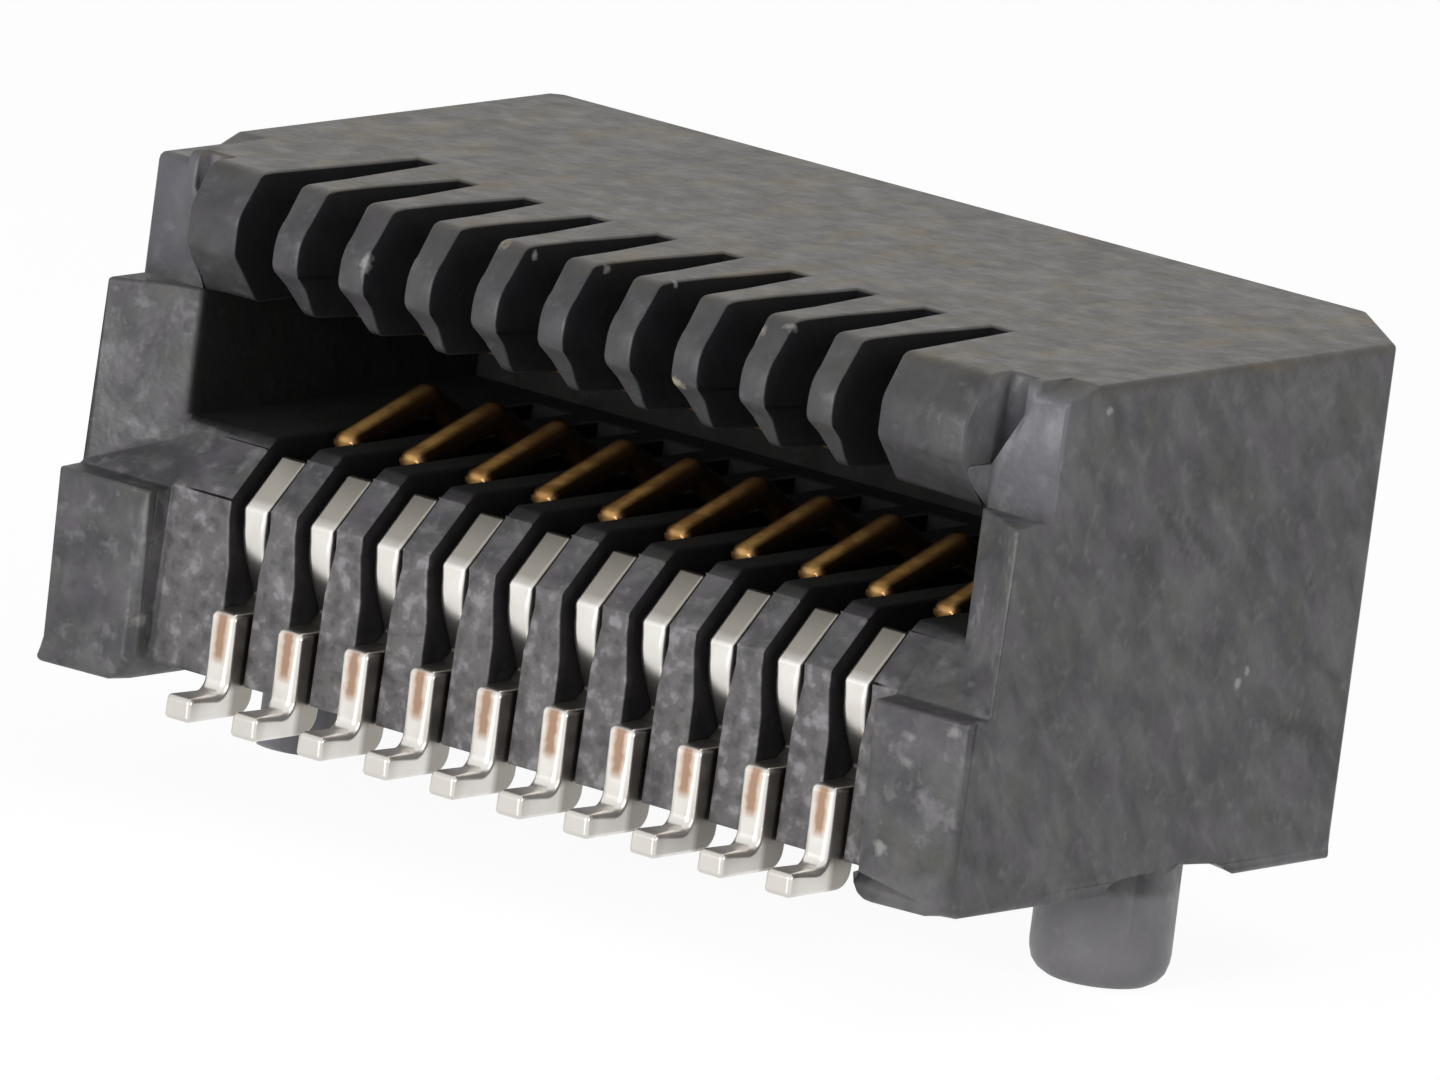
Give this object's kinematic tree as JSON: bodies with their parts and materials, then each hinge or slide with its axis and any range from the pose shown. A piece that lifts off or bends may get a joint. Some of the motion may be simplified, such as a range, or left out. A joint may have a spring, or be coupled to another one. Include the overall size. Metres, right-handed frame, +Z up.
{
  "type": "right-angle edge-card connector",
  "caption": "Surface-mount receptacle with a comb-fronted card slot, two rows of blanked spring contacts and locating pegs.",
  "frame": {"origin": "midway between the axes of the two locating pegs, on the board's top face, where the solder feet rest", "axes": "+X across the card slot from the diamond peg to the round peg, +Y from the slot's mouth to the rear solder feet, +Z up from the board"},
  "size_m": [0.011, 0.0084, 0.0061],
  "materials": {
    "housing_resin": "matte moulded, slightly mottled",
    "contact_metal": "tin-plated copper alloy"
  },
  "bodies": {
    "root": {"housing": "housing_resin", "lower_contact_01": "contact_metal", "lower_contact_02": "contact_metal", "lower_contact_03": "contact_metal", "lower_contact_04": "contact_metal", "lower_contact_05": "contact_metal", "lower_contact_06": "contact_metal", "lower_contact_07": "contact_metal", "lower_contact_08": "contact_metal", "lower_contact_09": "contact_metal", "lower_contact_10": "contact_metal", "upper_contact_01": "contact_metal", "upper_contact_02": "contact_metal", "upper_contact_03": "contact_metal", "upper_contact_04": "contact_metal", "upper_contact_05": "contact_metal", "upper_contact_06": "contact_metal", "upper_contact_07": "contact_metal", "upper_contact_08": "contact_metal", "upper_contact_09": "contact_metal", "upper_contact_10": "contact_metal"}
  },
  "joints": []
}
